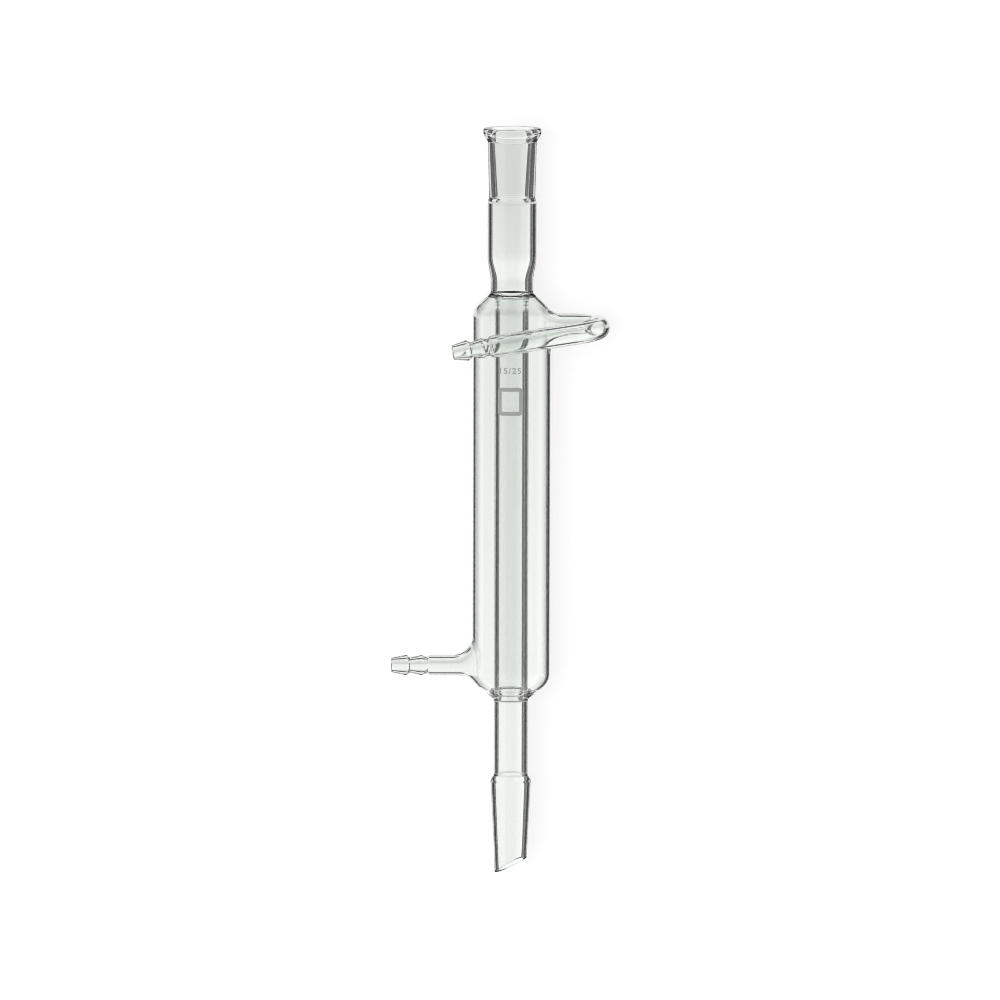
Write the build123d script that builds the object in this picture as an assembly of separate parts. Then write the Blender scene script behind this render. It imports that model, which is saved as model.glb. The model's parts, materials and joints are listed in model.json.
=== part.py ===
from build123d import *
import os
from math import cos, radians, sin, tan

# Liebig condenser: one fused piece of borosilicate glass, lying on its side.
# It is drawn standing on its drip tip, with Z up its axis, +X to the side that the
# upper arm leaves and -Y to the side that it bends round to. At the end it is laid
# down as it comes to rest, with the socket towards +X. All lengths are in mm.

# Inner tube, which runs through the jacket and on down to the ground cone
tube_r = 6.3
tube_wall = 1.25
lower_tube_length = 28.6
bore_step_radius = 1.0

# Ground socket and ground cone, both a standard taper of 1 in 10 on the diameter
taper_large_r = 7.5
taper_length = 25.0
taper_slope = 1 / 20

# Cone end: shoulder above the cone, oblique drip tip below it
cone_shoulder = 1.9
cone_shoulder_radius = 2.0
cone_neck_radius = 0.8
cone_wall = 1.3
cone_bore_step = 2.5
drip_length = 9.7
drip_r = 5.9
drip_wall = 1.15
drip_angle = 26.0
drip_edge = 0.3

# Jacket with its two rounded shoulders, each sealed to the inner tube by a ring of glass
jacket_r = 14.35
jacket_wall = 0.85
jacket_length = 151.4
foot_slope = 38.0
foot_radius = 6.8
head_slope = 43.0
head_radius = 7.5
seal_radius = 1.3
foot_neck_radius = 1.5
head_neck_radius = 1.2

# Neck above the jacket, and the wide tube that it swells into
neck_r = 7.85
neck_wall = 1.7
neck_length = 5.7
neck_funnel_above = 0.6
neck_funnel_below = 2.0
swell_length = 6.4
swell_radius = 12.0
wide_r = 9.0
wide_wall = 1.25
wide_length = 21.7

# Socket body and its thick rim
step_length = 1.6
step_head_radius = 1.0
step_foot_radius = 1.5
socket_foot_r = 8.5
socket_head_r = 9.05
socket_lip = 0.6
socket_edge = 0.6
rim_r = 10.7
rim_height = 2.1
rim_flare = 2.9
rim_root_radius = 0.6
rim_belly_radius = 1.2
rim_edge_radius = 0.8

# Lower hose arm, straight out of the jacket
lower_arm_r = 3.8
lower_arm_bore_r = 2.7
lower_arm_above_foot = 12.6
lower_arm_length = 30.05

# Upper hose arm: straight out, round a tight bend and back past the jacket's front
upper_arm_r = 4.05
upper_arm_bore_r = 2.85
upper_arm_below_head = 11.6
upper_arm_straight = 1.0
upper_arm_bend = 9.6
upper_arm_clearance = 1.6
upper_arm_run = 54.4
upper_arm_droop = 8.5
upper_arm_spread = 4.0
arm_flare = 7.0

# Hose barbs, from the open end of an arm back to its plain tube
barb_lip_r = 2.65
barb_lip_edge = 0.35
barb_crest_r = 3.85
barb_groove_r = 2.75
barb_neck_r = 3.0
barb_bore_r = 1.9
barb_wide_bore_r = 2.25
barb_narrow_bore_r = 1.75
barb_pitch = 5.6
barb_back = 1.5
barb_neck = 2.0
barb_shoulder = 1.4
barb_crest_edge = 0.5
barb_groove_radius = 0.45
barb_shoulder_radius = 0.9
barb_neck_radius = 0.6

# Extra length of a cut past the face that it opens, and the gap at which things count as touching
past = 1.0
touching = 0.01

# Heights up the axis, from the drip tip's lowest point
cone_foot = drip_length
cone_head = cone_foot + taper_length
tube_foot = cone_head + cone_shoulder
jacket_foot = tube_foot + lower_tube_length
jacket_head = jacket_foot + jacket_length
neck_head = jacket_head + neck_length
wide_foot = neck_head + swell_length
wide_head = wide_foot + wide_length
socket_foot = wide_head + step_length
socket_head = socket_foot + taper_length + socket_lip
lower_arm_height = jacket_foot + lower_arm_above_foot
upper_arm_height = jacket_head - upper_arm_below_head

# Radii of the air inside
taper_small_r = taper_large_r - taper_length * taper_slope
tube_bore_r = tube_r - tube_wall
cone_bore_r = taper_large_r - cone_wall
drip_bore_r = drip_r - drip_wall
neck_bore_r = neck_r - neck_wall
wide_bore_r = wide_r - wide_wall
space_r = jacket_r - jacket_wall
space_middle_r = (space_r + tube_r) / 2

# Arm centrelines. The upper one bends twice by about a right angle.
barb_length = 2 * barb_pitch + barb_neck + barb_shoulder
flare_end = jacket_r + arm_flare
stub_end = flare_end + upper_arm_straight
lower_way = Vector(-1, 0, 0)
lower_root = Vector(0, 0, lower_arm_height)
lower_tip = lower_root + lower_way * (jacket_r + lower_arm_length)
upper_way = Vector(1, 0, 0)
upper_root = Vector(0, 0, upper_arm_height)
run_offset = jacket_r + upper_arm_clearance + upper_arm_r
run_way = Vector(0, -sin(radians(upper_arm_spread)), -sin(radians(upper_arm_droop)))
run_way = (run_way - upper_way).normalized()
bend_out = upper_root + upper_way * (stub_end + upper_arm_bend)
bend_back = bend_out + Vector(0, -run_offset, 0)
upper_tip = bend_back + run_way * upper_arm_run


def turned(points, plane=Plane.XZ):
    """Solid of revolution about the plane's Y axis, from (radius, height, corner radius) points."""
    corners = [(r, height) for r, height, _ in points]
    rounding = [corner for _, _, corner in points[1:-1]]
    outline = FilletPolyline(*corners, radius=rounding)
    first = corners[0]
    last = corners[-1]
    closing = Polyline(last, (0, last[1]), (0, first[1]), first)
    return revolve(make_face(plane * (outline + closing)), Axis(plane.origin, plane.y_dir))


def turned_ring(points):
    """Ring of revolution about Z, from the (radius, height, corner radius) points of a closed outline."""
    corners = [(r, height) for r, height, _ in points]
    rounding = [corner for _, _, corner in points]
    outline = FilletPolyline(*corners, radius=rounding, close=True)
    return revolve(make_face(Plane.XZ * outline), Axis.Z)


def shoulder_rise(radius_change, slope):
    """Height that a shoulder line of this slope, in degrees, takes over a change of radius."""
    return radius_change * tan(radians(slope))


def body_outside():
    """Outer skin of the through tube and the jacket, filled, without the arms."""
    foot_corner = jacket_foot + shoulder_rise(jacket_r - tube_r, foot_slope)
    head_corner = jacket_head - shoulder_rise(jacket_r - neck_r, head_slope)
    return turned(
        [
            (drip_r, 0, 0),
            (taper_small_r, cone_foot, 0),
            (taper_large_r, cone_head, cone_shoulder_radius),
            (tube_r, tube_foot, cone_neck_radius),
            (tube_r, jacket_foot, foot_neck_radius),
            (jacket_r, foot_corner, foot_radius),
            (jacket_r, head_corner, head_radius),
            (neck_r, jacket_head, head_neck_radius),
            (neck_r, neck_head, swell_radius),
            (wide_r, wide_foot, swell_radius),
            (wide_r, wide_head, step_foot_radius),
            (socket_foot_r, socket_foot, step_head_radius),
            (socket_head_r, socket_head - rim_height - rim_flare, rim_root_radius),
            (rim_r, socket_head - rim_height, rim_belly_radius),
            (rim_r, socket_head, rim_edge_radius),
            (taper_large_r, socket_head, 0),
        ]
    )


def bore_air():
    """Vapour way from the socket's mouth to the drip tip."""
    return turned(
        [
            (drip_bore_r, -past, 0),
            (drip_bore_r, 0, 0),
            (cone_bore_r, cone_head, bore_step_radius),
            (tube_bore_r, cone_head + cone_bore_step, bore_step_radius),
            (tube_bore_r, jacket_head - neck_funnel_below, bore_step_radius),
            (neck_bore_r, jacket_head + neck_funnel_above, bore_step_radius),
            (neck_bore_r, neck_head, swell_radius),
            (wide_bore_r, wide_foot, swell_radius),
            (wide_bore_r, wide_head, bore_step_radius),
            (taper_small_r, socket_foot, socket_edge),
            (taper_large_r, socket_head - socket_lip, socket_edge),
            (taper_large_r + socket_lip + past, socket_head + past, 0),
        ]
    )


def water_space():
    """Ring of air between the jacket and the inner tube, closed at both ends."""
    foot_line = jacket_foot + jacket_wall / cos(radians(foot_slope))
    head_line = jacket_head - jacket_wall / cos(radians(head_slope))
    foot_corner = foot_line + shoulder_rise(space_r - tube_r, foot_slope)
    head_corner = head_line - shoulder_rise(space_r - neck_r, head_slope)
    return turned_ring(
        [
            (tube_r, foot_line, seal_radius),
            (space_r, foot_corner, foot_radius - jacket_wall),
            (space_r, head_corner, head_radius - jacket_wall),
            (tube_r, head_line + shoulder_rise(neck_r - tube_r, head_slope), seal_radius),
        ]
    )


def flared(body, root, way, inner_end, r, wall_r, flare):
    """Body with a straight stub of radius r from it, its inside corner rounded by flare."""
    stub = Plane(origin=root + way * inner_end, z_dir=way) * Cylinder(
        r, stub_end - inner_end, align=(Align.CENTER, Align.CENTER, Align.MIN)
    )
    joined = body + stub

    def on_seam(edge):
        steps = [(edge @ (i / 6)) - root for i in range(7)]
        along = [step.dot(way) for step in steps]
        off = [(step - way * a).length for step, a in zip(steps, along)]
        on_stub = max(off) - r < touching and r - min(off) < touching
        return on_stub and inner_end < max(along) < wall_r + touching

    return fillet(joined.edges().filter_by(on_seam), flare)


def arm_bar(start, corners, tip, r):
    """Round bar along an arm's centreline, from start to the back of its barbs."""
    way = (tip - (corners[-1] if corners else start)).normalized()
    points = [start, *corners, tip - way * barb_length]
    path = FilletPolyline(*points, radius=[upper_arm_bend] * len(corners)) if corners else Line(*points)
    return sweep(Plane(origin=path @ 0, z_dir=path % 0) * Circle(r), path=path)


def barb_plane(tip, way):
    """Plane with its origin at an arm's open end and its Y axis back along the arm."""
    side = way.cross(Vector(0, 0, 1)).normalized()
    return Plane(origin=tip, x_dir=side, z_dir=way.cross(side))


def barb_glass(tip, way, arm_r):
    """Outside of the two barbs, from the open end to the plain tube."""
    second = 2 * barb_pitch
    points = [
        (barb_bore_r, 0, 0),
        (barb_lip_r, 0, barb_lip_edge),
        (barb_crest_r, barb_pitch, barb_crest_edge),
        (barb_groove_r, barb_pitch + barb_back, barb_groove_radius),
        (barb_crest_r, second, barb_shoulder_radius),
        (barb_neck_r, second + barb_neck, barb_neck_radius),
        (arm_r, barb_length, 0),
    ]
    return turned(points, barb_plane(tip, way))


def barb_air(tip, way, arm_bore_r):
    """Bore of the two barbs, wider under each crest and narrower under the groove."""
    second = 2 * barb_pitch
    points = [
        (barb_bore_r, -past, 0),
        (barb_bore_r, 0, barb_shoulder_radius),
        (barb_wide_bore_r, barb_pitch, barb_crest_edge),
        (barb_narrow_bore_r, barb_pitch + barb_back, barb_groove_radius),
        (barb_wide_bore_r, second, barb_shoulder_radius),
        (barb_bore_r, second + barb_neck, barb_neck_radius),
        (arm_bore_r, barb_length, 0),
    ]
    return turned(points, barb_plane(tip, way))


def arms(body, inner_end, lower_r, upper_r, wall_r, flare, end_shape):
    """Body with both hose arms on it, each flared into it and ending in its barbs."""
    body = flared(body, lower_root, lower_way, inner_end, lower_r, wall_r, flare)
    body = flared(body, upper_root, upper_way, inner_end, upper_r, wall_r, flare)
    body += arm_bar(lower_root + lower_way * flare_end, [], lower_tip, lower_r)
    body += arm_bar(upper_root + upper_way * flare_end, [bend_out, bend_back], upper_tip, upper_r)
    return body + end_shape(lower_tip, lower_way, lower_r) + end_shape(upper_tip, run_way, upper_r)


def condenser():
    """The whole glass, standing on its drip tip."""
    glass = arms(body_outside(), 0, lower_arm_r, upper_arm_r, jacket_r, arm_flare, barb_glass)
    inner_flare = arm_flare + jacket_wall
    water = arms(
        water_space(), space_middle_r, lower_arm_bore_r, upper_arm_bore_r, space_r, inner_flare, barb_air
    )
    return glass - water - bore_air()


def with_oblique_tip(glass):
    """Glass with its drip tip cut off at a slant and the cut's edges melted round."""
    low = Vector(-drip_r, 0, 0)
    slant = Vector(-sin(radians(drip_angle)), 0, cos(radians(drip_angle)))
    cut = split(glass, bisect_by=Plane(origin=low, x_dir=(0, 1, 0), z_dir=slant), keep=Keep.TOP)
    rims = cut.edges().filter_by(lambda edge: abs((edge.center() - low).dot(slant)) < touching)
    return fillet(rims, drip_edge)


def resting_roll(laid):
    """Angle about its axis at which the glass lies on the jacket and the upper arm's bend."""
    points = [upper_root, bend_out, bend_back, upper_tip]
    centreline = laid * FilletPolyline(*points, radius=[upper_arm_bend] * 2)
    low = 0.0
    high = 90.0
    for _ in range(40):
        middle = (low + high) / 2
        depth = upper_arm_r - (Rot(X=middle) * centreline).bounding_box().min.Z
        if depth < jacket_r:
            low = middle
        else:
            high = middle
    return low


os.makedirs("parts", exist_ok=True)
laid_down = Plane(origin=(0, 0, 0), x_dir=(0, -1, 0), z_dir=(1, 0, 0)).location
roll = resting_roll(laid_down)
resting = Rot(X=roll) * laid_down * with_oblique_tip(condenser())
box = resting.bounding_box()
resting = Pos(-box.center().X, -box.center().Y, -box.min.Z) * resting
print("roll", round(roll, 3), "length", round(box.size.X, 2), "volume", round(resting.volume, 1))
export_step(resting, "parts/condenser.step")
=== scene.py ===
import json

import bpy
import numpy as np
from mathutils import Matrix, Vector


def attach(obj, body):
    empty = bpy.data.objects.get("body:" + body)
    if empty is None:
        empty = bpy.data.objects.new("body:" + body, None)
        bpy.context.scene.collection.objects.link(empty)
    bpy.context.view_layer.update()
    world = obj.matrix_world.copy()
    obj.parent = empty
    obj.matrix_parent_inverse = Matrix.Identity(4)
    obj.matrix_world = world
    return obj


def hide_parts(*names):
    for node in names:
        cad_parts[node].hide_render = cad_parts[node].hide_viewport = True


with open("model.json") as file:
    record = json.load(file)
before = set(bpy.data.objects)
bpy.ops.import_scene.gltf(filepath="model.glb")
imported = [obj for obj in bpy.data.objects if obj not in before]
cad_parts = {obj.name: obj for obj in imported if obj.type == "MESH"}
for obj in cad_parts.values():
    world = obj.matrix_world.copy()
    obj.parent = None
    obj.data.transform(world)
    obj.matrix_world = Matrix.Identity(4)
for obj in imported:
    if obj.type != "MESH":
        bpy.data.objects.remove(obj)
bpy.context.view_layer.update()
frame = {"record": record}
print("frame loaded")

# The glass is worked out standing on its drip tip, in mm: z up its axis, x to the side that the
# upper arm leaves, y away from the viewer. The frame's mounts say how it lies.
mm = 0.001
mounts = {mount["name"]: mount for mount in frame["record"]["mounts"]}
socketPlace = np.array(mounts["socket"]["pos_m"])
upTheAxis = np.array(mounts["socket"]["axis"], float)
acrossRight = -np.array(mounts["lower_hose_arm"]["axis"])
awayFromViewer = np.cross(upTheAxis, acrossRight)

tube = {
    "r": 6.3, "wall": 1.25, "belowJacket": 28.6,  # inner tube, and its stretch below the jacket
    "taperR": 7.5, "taperLength": 25.0, "taperSlope": 0.05,  # standard taper of socket and cone
    "coneShoulder": 1.9, "coneWall": 1.3, "coneBoreStep": 2.5,
    "dripLength": 9.7, "dripR": 5.9, "dripWall": 1.15, "dripAngle": 26.0, "dripEdge": 0.42,
    "dripSpread": 0.038,  # widening of the tip for each mm up
    "neckR": 7.85, "neckWall": 1.7, "neckLength": 5.7, "funnelAbove": 0.6, "funnelBelow": 2.0,
    "swellLength": 6.4, "swellRadius": 12.0, "wideR": 9.0, "wideWall": 1.25, "wideLength": 21.7,
    "stepLength": 1.6, "socketFootR": 8.5, "socketHeadR": 9.05, "socketLip": 0.6,
    "rimR": 10.7, "rimHeight": 2.1, "rimFlare": 2.9,
    "columns": 128,  # quads round the axis, of the jacket too
}
jacket = {
    "r": 14.35, "wall": 0.85, "length": 151.4, "sealRadius": 1.3,
    "footSlope": 38.0, "footRadius": 6.8, "headSlope": 43.0, "headRadius": 7.5,
}
flare = {
    "radius": 7.0, "straight": 1.0,  # fillet between jacket and arm, and the plain stub after it
    "halfWindow": 13, "margin": 1.0, "patchRows": 6, "filletRows": 12, "stubRows": 3,
}
lowerArm = {"aboveFoot": 12.6, "way": (-1.0, 0.0, 0.0), "r": 3.8, "boreR": 2.7, "length": 30.05}
upperArm = {
    "belowHead": 11.6, "way": (1.0, 0.0, 0.0), "r": 4.05, "boreR": 2.85, "length": 54.4,
    "bend": 9.6, "clearance": 1.6, "droop": 8.5, "spread": 4.0,
}
barbs = {
    "lipR": 2.65, "lipEdge": 0.35, "crestR": 3.85, "grooveR": 2.75, "neckR": 3.0,
    "boreR": 1.9, "wideBoreR": 2.25, "narrowBoreR": 1.75,
    "pitch": 5.6, "back": 1.5, "neck": 2.0, "shoulder": 1.4,
    "crestEdge": 0.5, "grooveRadius": 0.45, "shoulderRadius": 0.9, "neckRadius": 0.6,
}


def rise(change, slope):
    return change * np.tan(np.radians(slope))


# Heights up the axis
coneHead = tube["dripLength"] + tube["taperLength"]
tubeFoot = coneHead + tube["coneShoulder"]
jacketFoot = tubeFoot + tube["belowJacket"]
jacketHead = jacketFoot + jacket["length"]
neckHead = jacketHead + tube["neckLength"]
wideFoot = neckHead + tube["swellLength"]
wideHead = wideFoot + tube["wideLength"]
socketFoot = wideHead + tube["stepLength"]
socketHead = socketFoot + tube["taperLength"] + tube["socketLip"]
lowerArm["height"] = jacketFoot + lowerArm["aboveFoot"]
upperArm["height"] = jacketHead - upperArm["belowHead"]
footCorner = jacketFoot + rise(jacket["r"] - tube["r"], jacket["footSlope"])
headCorner = jacketHead - rise(jacket["r"] - tube["neckR"], jacket["headSlope"])
wallFoot = footCorner + jacket["footRadius"] * np.tan(np.radians(90 - jacket["footSlope"]) / 2)
wallHead = headCorner - jacket["headRadius"] * np.tan(np.radians(90 - jacket["headSlope"]) / 2)


def place(points):
    # Points (x, y, z) of the standing glass in mm go to their places in the frame in metres
    points = np.asarray(points, float) * mm
    lift = points[:, 2:] - socketHead * mm
    return socketPlace + points[:, :1] * acrossRight + points[:, 1:2] * awayFromViewer + lift * upTheAxis


def arc(before, corner, after, radius, arcStep):
    # Arc of this radius tangent to the two sides of a corner, with the direction along it:
    # the two spokes to its ends, mixed by the sines of the angles to them
    near, far = before - corner, after - corner
    near, far = near / np.linalg.norm(near), far / np.linalg.norm(far)
    turn = np.pi - np.arccos(np.clip(near @ far, -1, 1))
    middle = corner + (near + far) / np.linalg.norm(near + far) * radius / np.cos(turn / 2)
    reach = radius * np.tan(turn / 2)
    spokeIn, spokeOut = corner + near * reach - middle, corner + far * reach - middle
    share = np.linspace(0, turn, max(3, int(np.ceil(np.degrees(turn) / arcStep))) + 1)[:, None]
    points = middle + (np.sin(turn - share) * spokeIn + np.sin(share) * spokeOut) / np.sin(turn)
    ways = np.cos(share) * spokeOut - np.cos(turn - share) * spokeIn
    return points, ways / np.linalg.norm(ways, axis=1)[:, None]


def roundedLine(corners, closed=False, arcStep=9.0, lineStep=5.0, guard=0.35):
    # Outline through corners (r, z, radius), each rounded by an arc. A straight side is cut every
    # lineStep, with a short step at each end so that an arc's shading doesn't spread along it.
    points = np.array([corner[:2] for corner in corners], float)
    count = len(points)
    parts = []
    for i, (_, _, radius) in enumerate(corners):
        if radius == 0 or (not closed and i in (0, count - 1)):
            parts.append(points[i][None])
        else:
            parts.append(arc(points[i - 1], points[i], points[(i + 1) % count], radius, arcStep)[0])
    line = []
    for i, part in enumerate(parts):
        line.append(part)
        if i == count - 1 and not closed:
            break
        start, end = part[-1], parts[(i + 1) % count][0]
        length = np.linalg.norm(end - start)
        if length > 2.5 * guard:
            pieces = max(1, int(round((length - 2 * guard) / lineStep)))
            share = np.linspace(guard / length, 1 - guard / length, pieces + 1)[:, None]
            line.append(start + share * (end - start))
    return np.concatenate(line)


def along(points):
    # Distance of each point of a line from its first one
    return np.concatenate([[0.0], np.cumsum(np.linalg.norm(np.diff(points, axis=0), axis=1))])


def skinCorners():
    # Outer skin from the drip tip up to the rim, then the vapour bore back down to the tip
    taperSmallR = tube["taperR"] - tube["taperLength"] * tube["taperSlope"]
    neckBore, wideBore = tube["neckR"] - tube["neckWall"], tube["wideR"] - tube["wideWall"]
    tubeBore = tube["r"] - tube["wall"]
    return [
        (tube["dripR"], 0, tube["dripEdge"]),
        (taperSmallR, tube["dripLength"], 0),
        (tube["taperR"], coneHead, 2.0),
        (tube["r"], tubeFoot, 0.8),
        (tube["r"], jacketFoot, 1.5),
        (jacket["r"], footCorner, jacket["footRadius"]),
        (jacket["r"], headCorner, jacket["headRadius"]),
        (tube["neckR"], jacketHead, 1.2),
        (tube["neckR"], neckHead, tube["swellRadius"]),
        (tube["wideR"], wideFoot, tube["swellRadius"]),
        (tube["wideR"], wideHead, 1.5),
        (tube["socketFootR"], socketFoot, 1.0),
        (tube["socketHeadR"], socketHead - tube["rimHeight"] - tube["rimFlare"], 0.6),
        (tube["rimR"], socketHead - tube["rimHeight"], 1.2),
        (tube["rimR"], socketHead, 0.8),
        (tube["taperR"] + tube["socketLip"], socketHead, 0.3),
        (tube["taperR"], socketHead - tube["socketLip"], 0.6),
        (taperSmallR, socketFoot, 0.6),
        (wideBore, wideHead, 1.0),
        (wideBore, wideFoot, tube["swellRadius"]),
        (neckBore, neckHead, tube["swellRadius"]),
        (neckBore, jacketHead + tube["funnelAbove"], 1.0),
        (tubeBore, jacketHead - tube["funnelBelow"], 1.0),
        (tubeBore, coneHead + tube["coneBoreStep"], 1.0),
        (tube["taperR"] - tube["coneWall"], coneHead, 1.0),
        (tube["dripR"] - tube["dripWall"], 0, tube["dripEdge"]),
    ]


def waterCorners():
    # Ring of the water space, up along the inner tube and down along the inside of the jacket
    spaceR = jacket["r"] - jacket["wall"]
    footLine = jacketFoot + jacket["wall"] / np.cos(np.radians(jacket["footSlope"]))
    headLine = jacketHead - jacket["wall"] / np.cos(np.radians(jacket["headSlope"]))
    headSeal = headLine + rise(tube["neckR"] - tube["r"], jacket["headSlope"])
    spaceHead = headLine - rise(spaceR - tube["neckR"], jacket["headSlope"])
    spaceFoot = footLine + rise(spaceR - tube["r"], jacket["footSlope"])
    return [
        (tube["r"], footLine, jacket["sealRadius"]),
        (tube["r"], headSeal, jacket["sealRadius"]),
        (spaceR, spaceHead, jacket["headRadius"] - jacket["wall"]),
        (spaceR, spaceFoot, jacket["footRadius"] - jacket["wall"]),
    ]


def ballPath(arm, angle, inset):
    # A ball rolls round the arm and touches both the arm's tube and the jacket, over its shoulder
    # arcs too. Its centre and its touching point on the jacket, each as (out, across, height), for
    # angles from the upward direction. inset is 0 for the outer skin and the wall for the inner one.
    r = arm["r"] if inset == 0 else arm["boreR"]
    ballR = flare["radius"] + inset
    skinR = jacket["r"] - inset
    across, height = (r + ballR) * np.sin(angle), arm["height"] + (r + ballR) * np.cos(angle)
    over = np.minimum(height - wallFoot, 0) + np.maximum(height - wallHead, 0)
    cornerR = np.where(height < wallFoot, jacket["footRadius"], jacket["headRadius"]) - inset
    level = np.sqrt((cornerR + ballR) ** 2 - over ** 2)
    reach = skinR - cornerR + level
    out = np.sqrt(reach ** 2 - across ** 2)
    touchR = skinR - cornerR + level * cornerR / (cornerR + ballR)
    touchZ = height - over * ballR / (cornerR + ballR)
    centre = np.stack([out, across, height], -1)
    touch = np.stack([touchR * out / reach, touchR * across / reach, touchZ], -1)
    return centre, touch, r, ballR


class Skin:
    # A closed outline turned about the axis, as a grid of rows by columns, with a square window of
    # equal rows and columns left open at each arm

    def __init__(self, corners, inset):
        self.inset = inset
        self.rows = roundedLine(corners, closed=True)
        fine = roundedLine(corners, closed=True, arcStep=1.0, lineStep=1.0)
        self.side = fine[self.onSide(fine)]
        if self.side[0, 1] > self.side[-1, 1]:
            self.side = self.side[::-1]
        self.sideD = along(self.side)
        self.upward = inset == 0
        for arm in (lowerArm, upperArm):
            low, high = self.window(arm)
            cut = np.linspace(low, high, 2 * flare["halfWindow"] + 1)
            inside = self.onSide(self.rows)
            d = np.interp(self.rows[:, 1], self.side[:, 1], self.sideD)
            inside &= (d > low - 0.3) & (d < high + 0.3)
            cut = cut if self.upward else cut[::-1]
            first, last = np.flatnonzero(inside)[[0, -1]]
            self.rows = np.concatenate([self.rows[:first], self.at(cut), self.rows[last + 1:]])

    def onSide(self, line):
        return (line[:, 0] > tube["r"] + 3) & (line[:, 1] > jacketFoot) & (line[:, 1] < jacketHead)

    def at(self, d):
        # Radius and height at a distance up the jacket's side
        return np.stack([np.interp(d, self.sideD, self.side[:, k]) for k in range(2)], -1)

    def up(self, z):
        return np.interp(z, self.side[:, 1], self.sideD)

    def window(self, arm):
        touch = ballPath(arm, np.linspace(0, np.pi, 91), self.inset)[1]
        return self.up(touch[-1, 2]) - flare["margin"], self.up(touch[0, 2]) + flare["margin"]

    def points(self):
        angle = np.arange(tube["columns"]) * 2 * np.pi / tube["columns"]
        r, z = self.rows[:, :1], self.rows[:, 1:]
        return np.stack([r * np.cos(angle), r * np.sin(angle), z + 0 * angle], -1)

    def loop(self, arm):
        # Grid rows and columns round an arm's window, clockwise from its top as seen from outside
        # against the arm's way, with each one's distance across and up the jacket's side
        half = flare["halfWindow"]
        steps = np.arange(2 * half)
        start, level = steps[:half], steps * 0
        across = np.concatenate([start, level + half, half - steps, level - half, start - half])
        upwardEnds = start * 0 + half
        upward = np.concatenate([upwardEnds, half - steps, level - half, steps - half, upwardEnds])
        low, high = self.window(arm)
        away = np.abs(self.up(self.rows[:, 1]) - (low + high) / 2)
        middleRow = np.argmin(np.where(self.onSide(self.rows), away, np.inf))
        rows = middleRow + upward * (1 if self.upward else -1)
        quarter = 0 if arm["way"][0] > 0 else tube["columns"] // 2
        columns = (quarter - across) % tube["columns"]
        turn = across * 2 * np.pi / tube["columns"]
        return rows, columns, turn, (low + high) / 2 + upward * (high - low) / (2 * half)

    def openFaces(self):
        # True for each quad (row, column) of the grid that isn't in a window
        keep = np.ones((len(self.rows), tube["columns"]), bool)
        for arm in (lowerArm, upperArm):
            rows, columns, _, _ = self.loop(arm)
            half = flare["halfWindow"]
            middle = 0 if arm["way"][0] > 0 else tube["columns"] // 2
            inside = (np.arange(-half, half) + middle) % tube["columns"]
            keep[np.ix_(np.arange(rows.min(), rows.max()), inside)] = False
        return keep


def armSides(arm):
    # The arm's way, the upward side and the side across, as directions of the standing glass
    way, up = np.array(arm["way"]), np.array([0.0, 0.0, 1.0])
    return way, np.cross(way, up), up


def flareRows(arm, skin):
    # From an arm's window in the skin to its stub: rows on the skin that close in on the ball's
    # touching line, then the ball's own arc from the skin over to the tube, then the stub
    way, side, up = armSides(arm)
    _, _, turn, rowD = skin.loop(arm)
    angle = np.arange(len(turn)) * 2 * np.pi / len(turn)
    centre, touch, r, ballR = ballPath(arm, angle, skin.inset)
    touchTurn, touchD = np.arctan2(touch[:, 1], touch[:, 0]), skin.up(touch[:, 2])
    share = np.arange(1, flare["patchRows"] + 1)[:, None] / flare["patchRows"]
    turnHere, dHere = turn + share * (touchTurn - turn), rowD + share * (touchD - rowD)
    rHere, zHere = np.moveaxis(skin.at(dHere), -1, 0)
    patch = np.stack([rHere * np.cos(turnHere), rHere * np.sin(turnHere), zHere], -1)
    toSkin = (touch - centre) / ballR
    toTube = -np.stack([0 * angle, np.sin(angle), np.cos(angle)], -1)
    bend = np.arccos(np.sum(toSkin * toTube, -1))[:, None]
    share = np.arange(1, flare["filletRows"] + 1)[:, None, None] / flare["filletRows"]
    spoke = np.sin((1 - share) * bend) * toSkin + np.sin(share * bend) * toTube
    fillet = centre + ballR * spoke / np.sin(bend)
    share = np.arange(1, flare["stubRows"])[:, None] / flare["stubRows"]
    stubEnd = jacket["r"] + flare["radius"] + flare["straight"]
    stubOut = centre[:, 0] + share * (stubEnd - centre[:, 0])
    ring = np.stack([r * np.sin(angle), arm["height"] + r * np.cos(angle)], -1)
    stub = np.concatenate([stubOut[..., None], np.broadcast_to(ring, stubOut.shape + (2,))], -1)
    rows = np.concatenate([patch, fillet, stub])
    return rows[..., :1] * way + rows[..., 1:2] * side + rows[..., 2:] * up


def armPath(arm):
    # Centreline from the end of the stub to the tip, with its direction and an untwisted side: points
    # of straight runs and tangent arcs, the side carried along by taking out what leans on the way
    way, _, up = armSides(arm)
    root = np.array([0, 0, arm["height"]])
    start = root + way * (jacket["r"] + flare["radius"] + flare["straight"])
    if "bend" in arm:
        run = np.array([0, -np.sin(np.radians(arm["spread"])), -np.sin(np.radians(arm["droop"]))]) - way
        out = start + way * arm["bend"]
        back = out - np.array([0, jacket["r"] + arm["clearance"] + arm["r"], 0])
        tip = back + run / np.linalg.norm(run) * arm["length"]
        first = arc(start, out, back, arm["bend"], 5.0)
        second = arc(out, back, tip, arm["bend"], 5.0)
        points = np.concatenate([first[0], second[0], tip[None]])
        ways = np.concatenate([first[1], second[1], second[1][-1:]])
    else:
        points = np.stack([start, root + way * (jacket["r"] + arm["length"])])
        ways = np.stack([way, way])
    ups = [up]
    for here in ways[1:]:
        lean = ups[-1] - here * (ups[-1] @ here)
        ups.append(lean / np.linalg.norm(lean))
    return points, ways, np.array(ups)


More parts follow.
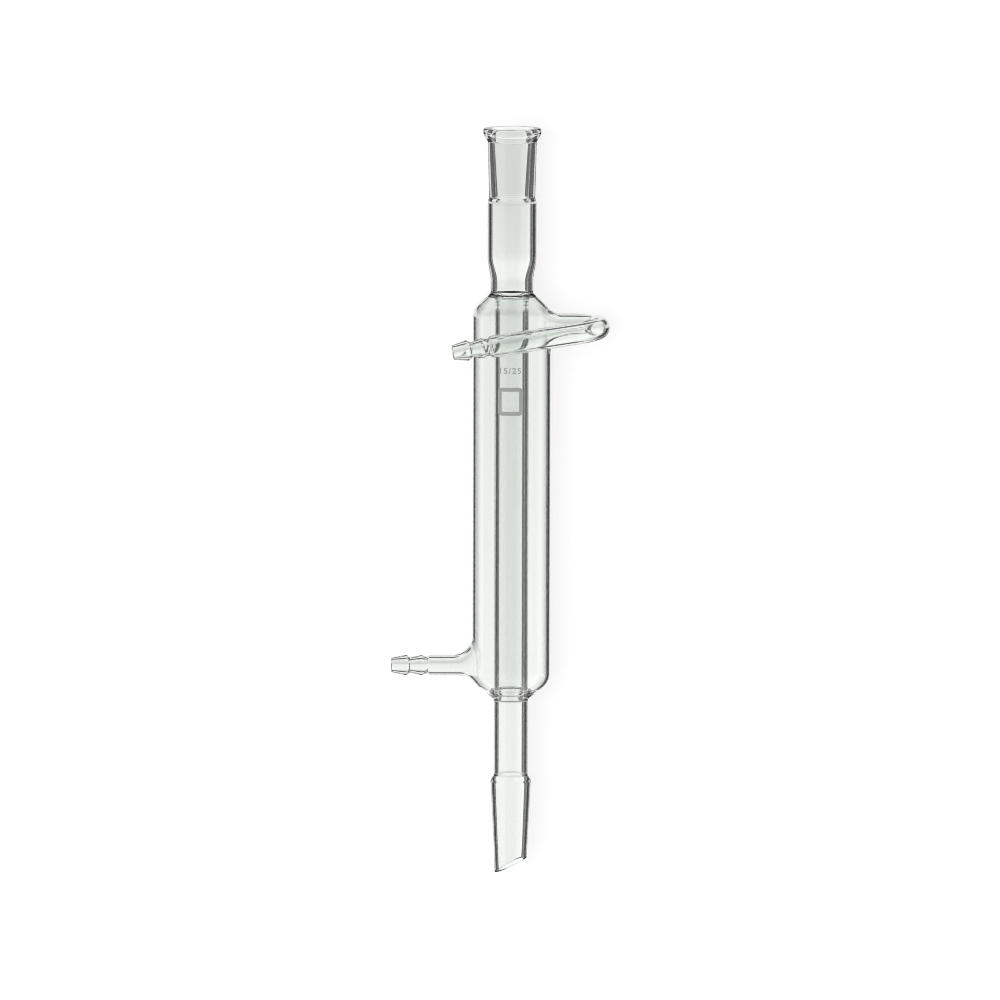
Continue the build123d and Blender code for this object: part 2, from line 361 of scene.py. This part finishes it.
def armRows(arm):
    # Rings round the centreline: out to the barbs, over them to the open end and back down the bore
    points, ways, ups = armPath(arm)
    distance = along(points)
    length, straight = distance[-1], distance[-2]
    second = 2 * barbs["pitch"]
    back = second + barbs["neck"] + barbs["shoulder"]
    outline = roundedLine([
        (arm["r"], straight, 0),
        (arm["r"], length - back, 0),
        (barbs["neckR"], length - second - barbs["neck"], barbs["neckRadius"]),
        (barbs["crestR"], length - second, barbs["shoulderRadius"]),
        (barbs["grooveR"], length - barbs["pitch"] - barbs["back"], barbs["grooveRadius"]),
        (barbs["crestR"], length - barbs["pitch"], barbs["crestEdge"]),
        (barbs["lipR"], length, barbs["lipEdge"]),
        (barbs["boreR"], length, 0.3),
        (barbs["wideBoreR"], length - barbs["pitch"], barbs["crestEdge"]),
        (barbs["narrowBoreR"], length - barbs["pitch"] - barbs["back"], barbs["grooveRadius"]),
        (barbs["wideBoreR"], length - second, barbs["shoulderRadius"]),
        (barbs["boreR"], length - second - barbs["neck"], barbs["neckRadius"]),
        (arm["boreR"], length - back, 0),
        (arm["boreR"], straight, 0),
    ], arcStep=14.0)
    bends = distance[:-2]
    outward = np.stack([0 * bends + arm["r"], bends], -1)
    inward = np.stack([0 * bends + arm["boreR"], bends], -1)[::-1]
    rows = np.concatenate([outward, outline, inward])
    centre, way, up = [
        np.stack([np.interp(rows[:, 1], distance, line[:, k]) for k in range(3)], -1)
        for line in (points, ways, ups)
    ]
    count = 8 * flare["halfWindow"]
    angle = (np.arange(count) * 2 * np.pi / count)[None, :, None]
    side = np.cross(way, up)
    spokes = np.cos(angle) * up[:, None] + np.sin(angle) * side[:, None]
    return centre[:, None] + rows[:, :1, None] * spokes


def slantTip(points):
    # The drip tip's slanted end: points near it move up the axis by as much as the cut rises there,
    # and out by what the wall widens over that rise
    share = np.clip(1 - points[..., 2] / tube["dripLength"], 0, 1)
    lift = (points[..., 0] + tube["dripR"]) * np.tan(np.radians(tube["dripAngle"])) * share
    r = np.hypot(points[..., 0], points[..., 1])
    grow = 1 + lift * tube["dripSpread"] / r
    return np.stack([points[..., 0] * grow, points[..., 1] * grow, points[..., 2] + lift], -1)


def quadsOf(index):
    # Quads between the rows of an index grid whose columns close round, facing out of the glass
    after = np.roll(index, -1, 1)
    return np.stack([index[:-1], after[:-1], after[1:], index[1:]], -1)


def meshOf(name, points, faces, attribute, values):
    # Smooth mesh of the points that the faces use, with one value for each point
    mesh = bpy.data.meshes.new(name)
    used, faces = np.unique(faces, return_inverse=True)
    faces = faces.reshape(-1, 4)
    mesh.from_pydata(points[used].tolist(), [], faces.tolist())
    mesh.polygons.foreach_set("use_smooth", [True] * len(faces))
    marks = mesh.attributes.new(attribute, "FLOAT", "POINT")
    marks.data.foreach_set("value", values[used].astype(np.float32))
    mesh.update()
    piece = bpy.data.objects.new(name, mesh)
    bpy.context.scene.collection.objects.link(piece)
    return piece


def makeGlass():
    outer, inner = Skin(skinCorners(), 0), Skin(waterCorners(), jacket["wall"])
    grids = [slantTip(outer.points()), inner.points()]
    points = [grid.reshape(-1, 3) for grid in grids]
    start = np.cumsum([0] + [len(part) for part in points])
    faces = []
    indexes = []
    for skin, grid, offset in zip((outer, inner), grids, start):
        index = offset + np.arange(grid.shape[0] * grid.shape[1]).reshape(grid.shape[:2])
        indexes.append(index)
        closed = np.concatenate([index, index[:1]])
        faces.append(quadsOf(closed)[skin.openFaces()])
    total = start[-1]
    for arm in (lowerArm, upperArm):
        rows = np.concatenate([flareRows(arm, outer), armRows(arm), flareRows(arm, inner)[::-1]])
        rowsOut, columnsOut, _, _ = outer.loop(arm)
        rowsIn, columnsIn, _, _ = inner.loop(arm)
        index = total + np.arange(rows.shape[0] * rows.shape[1]).reshape(rows.shape[:2])
        total += rows.shape[0] * rows.shape[1]
        points.append(rows.reshape(-1, 3))
        ends = indexes[0][rowsOut, columnsOut][None], indexes[1][rowsIn, columnsIn][None]
        faces.append(quadsOf(np.concatenate([ends[0], index, ends[1]])).reshape(-1, 4))
    points = np.concatenate(points)
    # The socket's ground seat is the only glass this close to the axis between its foot and its lip
    inSeat = (points[:, 2] > socketFoot + 0.4) & (points[:, 2] < socketHead - 2 * tube["socketLip"])
    inSeat &= np.hypot(points[:, 0], points[:, 1]) < tube["taperR"] + 0.1
    glass = meshOf("blown_glass", place(points), np.concatenate(faces), "ground", inSeat)
    print("glass:", len(glass.data.vertices), "points,", 2 * len(glass.data.polygons), "triangles")
    return glass


def linear(hexColour):
    # sRGB hex to linear: the low end is divided by 12.92, the rest follows the 2.4 power
    values = [int(hexColour[i:i + 2], 16) / 255 for i in (1, 3, 5)]
    return [v / 12.92 if v <= 0.04045 else ((v + 0.055) / 1.055) ** 2.4 for v in values] + [1.0]


def addNode(tree, kind, settings=None, links=None, **attributes):
    node = tree.nodes.new(kind)
    for key, value in attributes.items():
        setattr(node, key, value)
    for key, value in (settings or {}).items():
        node.inputs[key].default_value = value
    for key, source in (links or {}).items():
        tree.links.new(source, node.inputs[key])
    return node


def newMaterial(name):
    material = bpy.data.materials.new(name)
    material.use_nodes = True
    material.node_tree.nodes.clear()
    return material, material.node_tree


glassLook = {
    "index": 1.473,
    "clear": "#FDFFFD",  # hardly any colour, a trace of green where the light runs along the wall
    "ground": "#EDF0ED",  # ground seat of the socket, polished clear but a little duller
    "drawAlong": 9.0, "drawAcross": 240.0, "drawDepth": 0.0000011,  # draw lines, in 1/m and m
}


def borosilicateGlass():
    # Clear glass drawn on a lathe: the eye sees faint long lines in it and a duller ground seat
    material, tree = newMaterial("borosilicateGlass")
    seat = addNode(tree, "ShaderNodeAttribute", attribute_name="ground")
    colour = addNode(tree, "ShaderNodeMix", {
        "A": linear(glassLook["clear"]), "B": linear(glassLook["ground"]),
    }, {"Factor": seat.outputs["Fac"]}, data_type="RGBA")
    where = addNode(tree, "ShaderNodeTexCoord")
    stretched = addNode(tree, "ShaderNodeVectorMath", {
        1: (glassLook["drawAlong"], glassLook["drawAcross"], glassLook["drawAcross"]),
    }, {0: where.outputs["Object"]}, operation="MULTIPLY")
    lines = addNode(tree, "ShaderNodeTexNoise", {
        "Scale": 1.0, "Detail": 2.0,
    }, {"Vector": stretched.outputs[0]})
    relief = addNode(tree, "ShaderNodeBump", {"Strength": 1.0, "Distance": glassLook["drawDepth"]},
                     {"Height": lines.outputs["Fac"]})
    shader = addNode(tree, "ShaderNodeBsdfPrincipled", {
        "Roughness": 0.0, "IOR": glassLook["index"], "Transmission Weight": 1.0,
    }, {"Base Color": colour.outputs["Result"], "Normal": relief.outputs[0]})
    addNode(tree, "ShaderNodeOutputMaterial", links={"Surface": shader.outputs[0]})
    return material


marking = {
    "turn": -1.9, "lift": 0.05,  # degrees round from the viewer's side, and mm off the glass
    "fieldMiddle": 177.9, "fieldWidth": 9.4, "fieldHeight": 10.4, "fieldCorner": 1.6, "frameWidth": 1.5,
    "numbers": "15/25", "numbersMiddle": 189.3, "numbersHeight": 2.25,
    "spacing": 1.25, "boldness": 0.018, "curveSteps": 6,  # of the figures
    "rows": 25, "columns": 41, "cornerRows": 9,  # of the field
    "colour": "#A6ABA5", "wash": "#E4E8E4", "roughness": 0.55,
    "grain": 2600.0, "raggedness": 0.12,  # grains in each m, and how far they fray the frame's edge
    "thinMin": 0.35, "thinMax": 0.75,  # how clear the wash is
}


def onJacket(across, height):
    # Distances across and heights up the axis, wrapped round the jacket's side that faces the viewer
    turn = np.radians(marking["turn"]) + across / jacket["r"]
    r = jacket["r"] + marking["lift"]
    return place(np.stack([r * np.sin(turn), -r * np.cos(turn), height], -1).reshape(-1, 3))


def markField():
    # Plain field to write on, with rounded corners: rows as wide as the rounded outline lets them be
    half, tall, corner = marking["fieldWidth"] / 2, marking["fieldHeight"] / 2, marking["fieldCorner"]
    v = tall - corner * (1 - np.cos(np.linspace(0, np.pi / 2, marking["cornerRows"])))
    v = np.concatenate([-v, np.linspace(corner - tall, tall - corner, marking["rows"])[1:-1], v[::-1]])
    inCorner = np.clip(np.abs(v) - (tall - corner), 0, corner)
    width = half - corner + np.sqrt(corner ** 2 - inCorner ** 2)
    u = np.linspace(-1, 1, marking["columns"]) * width[:, None]
    v = v[:, None] + 0 * u
    index = np.arange(u.size).reshape(u.shape)
    faces = np.stack([index[:-1, :-1], index[:-1, 1:], index[1:, 1:], index[1:, :-1]], -1).reshape(-1, 4)
    # Distance in from the outline, in widths of the frame
    beyond = np.stack([np.abs(u) - half + corner, np.abs(v) - tall + corner], -1)
    inside = corner - np.hypot(*np.moveaxis(np.maximum(beyond, 0), -1, 0)) - np.minimum(beyond.max(-1), 0)
    inside = inside.ravel() / marking["frameWidth"]
    return meshOf("fired_field", onJacket(u, v + marking["fieldMiddle"]), faces, "inside", inside)


def markNumbers():
    # Size of the ground joints, in plain figures above the field
    words = bpy.data.curves.new("numbers", "FONT")
    words.body = marking["numbers"]
    words.align_x = "CENTER"
    words.resolution_u = marking["curveSteps"]
    words.space_character = marking["spacing"]
    words.offset = marking["boldness"]
    flat = bpy.data.objects.new("numbers", words)
    bpy.context.scene.collection.objects.link(flat)
    mesh = bpy.data.meshes.new_from_object(flat.evaluated_get(bpy.context.evaluated_depsgraph_get()))
    bpy.data.objects.remove(flat)
    points = np.empty(3 * len(mesh.vertices), np.float32)
    mesh.vertices.foreach_get("co", points)
    points = points.reshape(-1, 3)
    low, high = points.min(0), points.max(0)
    size = marking["numbersHeight"] / (high[1] - low[1])
    points = (points - (low + high) / 2) * size
    wrapped = onJacket(points[:, 0], points[:, 1] + marking["numbersMiddle"])
    mesh.vertices.foreach_set("co", wrapped.astype(np.float32).ravel())
    mesh.name = "fired_numbers"
    mesh.materials.clear()
    mesh.update()
    numbers = bpy.data.objects.new("fired_numbers", mesh)
    bpy.context.scene.collection.objects.link(numbers)
    return numbers


def firedInk():
    # Ceramic ink fired onto the glass: matt grey, grainy, and thinned to a wash inside the frame
    material, tree = newMaterial("firedInk")
    where = addNode(tree, "ShaderNodeTexCoord")
    grain = addNode(tree, "ShaderNodeTexNoise", {
        "Scale": marking["grain"], "Detail": 3.0,
    }, {"Vector": where.outputs["Object"]})
    ink, wash = [
        addNode(tree, "ShaderNodeBsdfPrincipled", {
            "Base Color": linear(marking[name]), "Roughness": marking["roughness"],
        }) for name in ("colour", "wash")
    ]
    clear = addNode(tree, "ShaderNodeBsdfTransparent")
    distance = addNode(tree, "ShaderNodeAttribute", attribute_name="inside")
    # Distance in from the outline, in widths of the frame, plus a share of the grain
    ragged = addNode(tree, "ShaderNodeMath", {1: marking["raggedness"]}, {
        0: grain.outputs["Fac"], 2: distance.outputs["Fac"],
    }, operation="MULTIPLY_ADD")
    inner = addNode(tree, "ShaderNodeMapRange", {
        "From Min": 1.02, "From Max": 1.1,
    }, {"Value": ragged.outputs[0]})
    thin = addNode(tree, "ShaderNodeMapRange", {
        "From Min": 0.3, "From Max": 0.7, "To Min": marking["thinMin"], "To Max": marking["thinMax"],
    }, {"Value": grain.outputs["Fac"]})
    field = addNode(tree, "ShaderNodeMixShader", links={
        0: thin.outputs[0], 1: wash.outputs[0], 2: clear.outputs[0],
    })
    mix = addNode(tree, "ShaderNodeMixShader", links={
        0: inner.outputs[0], 1: ink.outputs[0], 2: field.outputs[0],
    })
    addNode(tree, "ShaderNodeOutputMaterial", links={"Surface": mix.outputs[0]})
    return material


floor = {
    "size": 8.0, "colour": "#FFFFFF",
    "glow": 1.1, "share": 0.25,  # brightness of its own glow, and the share of the paper that takes light
}


def paperFloor():
    # White paper that glows a little, so that only the heart of the shadow shows. Glass and gloss
    # look past it at the studio's bright field.
    material, tree = newMaterial("paperFloor")
    lightPath = addNode(tree, "ShaderNodeLightPath")
    paper = addNode(tree, "ShaderNodeBsdfDiffuse", {"Color": linear(floor["colour"])})
    glow = addNode(tree, "ShaderNodeEmission", {"Strength": floor["glow"]})
    lit = addNode(tree, "ShaderNodeMixShader", {0: floor["share"]}, {
        1: glow.outputs[0], 2: paper.outputs[0],
    })
    clear = addNode(tree, "ShaderNodeBsdfTransparent")
    past = addNode(tree, "ShaderNodeMath", operation="MAXIMUM", links={
        0: lightPath.outputs["Is Transmission Ray"], 1: lightPath.outputs["Is Glossy Ray"]})
    mix = addNode(tree, "ShaderNodeMixShader", links={
        0: past.outputs[0], 1: lit.outputs[0], 2: clear.outputs[0],
    })
    addNode(tree, "ShaderNodeOutputMaterial", links={"Surface": mix.outputs[0]})
    return material


camera = {
    "rise": 7.4, "tilt": 0.14,  # degrees above square to the axis, and turned in the picture
    "field": 0.370, "distance": 3.2, "sensor": 36.0, "farEnd": 50.0,  # m, m, mm, m
    "aimAcross": -4.2, "aimHeight": 139.6,  # mm from the axis and up it
}


def cameraAxes():
    # The photo looks square at the side that the upper arm passes, from slightly above the socket
    lift = np.radians(camera["rise"])
    back = -awayFromViewer * np.cos(lift) + upTheAxis * np.sin(lift)
    up = upTheAxis * np.cos(lift) + awayFromViewer * np.sin(lift)
    return back, up


def makeCamera():
    back, up = cameraAxes()
    data = bpy.data.cameras.new("camera")
    data.sensor_width = camera["sensor"]
    data.lens = camera["sensor"] * camera["distance"] / camera["field"]
    data.clip_end = camera["farEnd"]
    shot = bpy.data.objects.new("camera", data)
    bpy.context.scene.collection.objects.link(shot)
    right = np.cross(up, back)
    turned = np.radians(camera["tilt"])
    across = right * np.cos(turned) + up * np.sin(turned)
    up = up * np.cos(turned) - right * np.sin(turned)
    aim = place([[camera["aimAcross"], 0, camera["aimHeight"]]])[0]
    shot.matrix_world = Matrix([[*across, 0], [*up, 0], [*back, 0], [0, 0, 0, 1]]).transposed()
    shot.location = Vector(aim + back * camera["distance"])
    bpy.context.scene.camera = shot


makeCamera()
print("camera placed")
glass = makeGlass()
glass.data.materials.append(borosilicateGlass())
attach(glass, "root")
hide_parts("condenser")
ink = firedInk()
for mark in (markField(), markNumbers()):
    mark.data.materials.append(ink)
    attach(mark, "root")
print("marking done")

sheet = bpy.data.meshes.new("paperFloor")
half = floor["size"] / 2
corners = [(-half, -half, 0), (half, -half, 0), (half, half, 0), (-half, half, 0)]
sheet.from_pydata(corners, [], [(0, 1, 2, 3)])
ground = bpy.data.objects.new("paperFloor", sheet)
bpy.context.scene.collection.objects.link(ground)
sheet.materials.append(paperFloor())

studio = {
    "ambient": 0.5, "dim": 0.05,  # light on paper and ink, and the room above the glass
    # Brightness of the field below by the angle across the photo's view, in degrees: white in the
    # middle, a dark card at each side, white again past them
    "across": [(-70, 1), (-66, 1), (-62, 0.02), (-31, 0.02), (-28, 0.04), (-19, 0.05), (-18, 1),
               (12, 1), (13, 0.05), (28, 0.04), (31, 0.02), (60, 0.02), (64, 1), (70, 1)],
    # Where along the glass the side cards are, with a gap that shows the field to a low or high view
    "cards": [(-90, 0), (-40, 0), (-30, 1), (2.8, 1), (4.2, 0), (13, 0), (15, 1), (30, 1), (40, 0),
              (90, 0)],
    # Cards past each end of the glass, and how far they reach across
    "endCards": [(-90, 1), (-64, 1), (-63, 0.03), (-36, 0.03), (-34, 1),
                 (34, 1), (36, 0.03), (63, 0.03), (64, 1), (90, 1)],
    "endReach": [(-70, 0), (-24, 0), (-20, 1), (20, 1), (24, 0), (70, 0)],
    # Brightness of the field along the glass, a little dimmer towards the socket
    "lengthwise": [(-30, 0.95), (-10, 1), (-1.6, 1), (0, 0.94), (0.7, 0.9), (1.45, 0.9), (1.72, 0.845),
                   (2.05, 0.79), (2.32, 0.75), (2.6, 0.73), (12, 0.8), (25, 0.95), (30, 0.95)],
    "height": [(-90, 1), (12, 1), (30, 0), (90, 0)],  # the field ends a little above the horizon
}


def byAngle(tree, source, stops):
    # Value that runs straight from stop to stop, each (degrees, value)
    low, high = np.radians(stops[0][0]), np.radians(stops[-1][0])
    share = addNode(tree, "ShaderNodeMapRange", {"From Min": low, "From Max": high}, {"Value": source})
    ramp = addNode(tree, "ShaderNodeValToRGB", links={0: share.outputs[0]})
    marks = ramp.color_ramp.elements
    for degrees, _ in stops[1:-1]:
        marks.new((np.radians(degrees) - low) / (high - low))
    for mark, (_, value) in zip(marks, stops):
        mark.color = (value, value, value, 1)
    return ramp.outputs[0]


lamp = {"power": 13.5, "size": 1.4, "height": 1.6}  # W, m, m


def makeLamp():
    # Soft overhead light for paper and ink
    data = bpy.data.lights.new("softLamp", "AREA")
    data.energy = lamp["power"]
    data.size = lamp["size"]
    soft = bpy.data.objects.new("softLamp", data)
    soft.location = (0, 0, lamp["height"])
    soft.visible_glossy = False
    soft.visible_transmission = False
    bpy.context.scene.collection.objects.link(soft)
    return soft


def makeStudio(back, up):
    # Bright field below the glass with dark cards round it, a dim room above, white for the camera
    world = bpy.data.worlds.new("studio")
    world.use_nodes = True
    bpy.context.scene.world = world
    tree = world.node_tree
    tree.nodes.clear()
    heading = addNode(tree, "ShaderNodeTexCoord").outputs["Generated"]
    right = np.cross(up, back)

    def lean(direction):
        share = addNode(tree, "ShaderNodeVectorMath", {1: direction}, {0: heading}, operation="DOT_PRODUCT")
        return share.outputs["Value"]

    def maths(operation, *sources):
        links = {i: source for i, source in enumerate(sources) if not isinstance(source, float)}
        fixed = {i: source for i, source in enumerate(sources) if isinstance(source, float)}
        return addNode(tree, "ShaderNodeMath", fixed, links, operation=operation).outputs[0]

    across = maths("ARCTAN2", lean(right), lean(-back))
    lengthwise = maths("ARCSINE", lean(up))
    height = maths("ARCSINE", lean(np.array([0.0, 0.0, 1.0])))
    card = byAngle(tree, lengthwise, studio["cards"])
    cards = maths("MULTIPLY_ADD", card, maths("SUBTRACT", byAngle(tree, across, studio["across"]), 1.0), 1.0)
    endCards = maths("SUBTRACT", byAngle(tree, lengthwise, studio["endCards"]), 1.0)
    endCards = maths("MULTIPLY_ADD", byAngle(tree, across, studio["endReach"]), endCards, 1.0)
    field = maths("MULTIPLY", cards, endCards)
    field = maths("MULTIPLY", field, byAngle(tree, lengthwise, studio["lengthwise"]))
    field = maths("MULTIPLY", field, byAngle(tree, height, studio["height"]))
    field = maths("MAXIMUM", field, studio["dim"])
    lightPath = addNode(tree, "ShaderNodeLightPath")
    glassy = maths("MAXIMUM", lightPath.outputs["Is Transmission Ray"], lightPath.outputs["Is Glossy Ray"])
    # ambient + glassy * (field - ambient), then 1 for the camera
    seen = maths("MULTIPLY_ADD", glassy, maths("SUBTRACT", field, studio["ambient"]), studio["ambient"])
    seen = maths("MAXIMUM", seen, lightPath.outputs["Is Camera Ray"])
    sky = addNode(tree, "ShaderNodeBackground", {"Color": (1, 1, 1, 1)}, {"Strength": seen})
    addNode(tree, "ShaderNodeOutputWorld", links={"Surface": sky.outputs[0]})


makeStudio(*cameraAxes()[:2])
makeLamp()
print("studio done")

scene = bpy.context.scene
scene.view_settings.view_transform = "Standard"
scene.cycles.filter_width = 1.0
scene.cycles.max_bounces = 40
scene.cycles.transmission_bounces = 36
scene.cycles.glossy_bounces = 8
scene.cycles.transparent_max_bounces = 16
